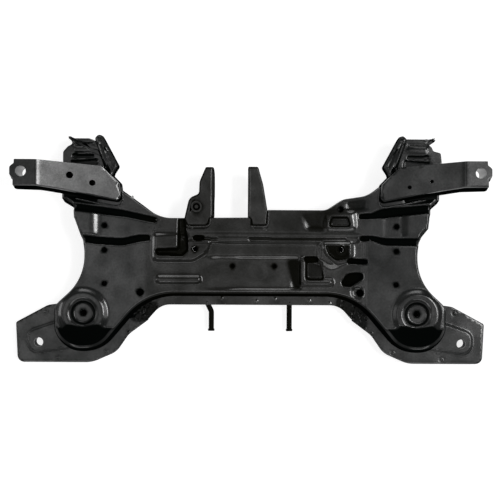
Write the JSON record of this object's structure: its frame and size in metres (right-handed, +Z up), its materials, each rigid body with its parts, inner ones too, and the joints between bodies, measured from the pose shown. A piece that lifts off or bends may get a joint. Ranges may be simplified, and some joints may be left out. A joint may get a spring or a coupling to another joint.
{
  "type": "crossmember",
  "caption": "Welded front crossmember of two pressed panels with raised mount arms, control arm brackets, roll stop ears, corner plates and exhaust hanger rods.",
  "frame": {"origin": "middle of the plan outline, at the level of the lower panel's underside", "axes": "+Y to the vehicle's front, where the roll stop ears stand; +Z up; +X to the right as seen from above with the front up"},
  "size_m": [0.9276, 0.448, 0.15],
  "materials": {
    "panel_black": "satin black dip coat over pressed sheet",
    "bracket_black": "satin black dip coat over plate",
    "tube_black": "satin black dip coat over tube and rod",
    "nut_black": "satin black dip coat over weld nuts"
  },
  "bodies": {
    "root": {"upper_panel": "panel_black", "lower_panel": "panel_black", "mount_arm_left": "panel_black", "mount_arm_right": "panel_black", "arm_closing_plate_left": "bracket_black", "arm_closing_plate_right": "bracket_black", "arm_sleeve_left": "tube_black", "arm_sleeve_right": "tube_black", "control_arm_bracket_left": "bracket_black", "control_arm_bracket_right": "bracket_black", "arm_support_left": "bracket_black", "arm_support_right": "bracket_black", "rear_corner_plate_left": "bracket_black", "rear_corner_plate_right": "bracket_black", "rear_sleeve_left": "tube_black", "rear_sleeve_right": "tube_black", "roll_bracket_left": "bracket_black", "roll_bracket_right": "bracket_black", "roll_bracket_collar": "nut_black", "roll_bolt_nut": "nut_black", "hanger_rod_left": "tube_black", "hanger_rod_right": "tube_black", "bulkhead_left": "bracket_black", "bulkhead_right": "bracket_black", "steering_gear_nut_left": "nut_black", "steering_gear_nut_right": "nut_black", "cup_nut_left": "nut_black", "cup_nut_right": "nut_black", "stabiliser_nuts_left": "nut_black", "stabiliser_nuts_right": "nut_black", "centre_nuts": "nut_black"}
  },
  "joints": []
}
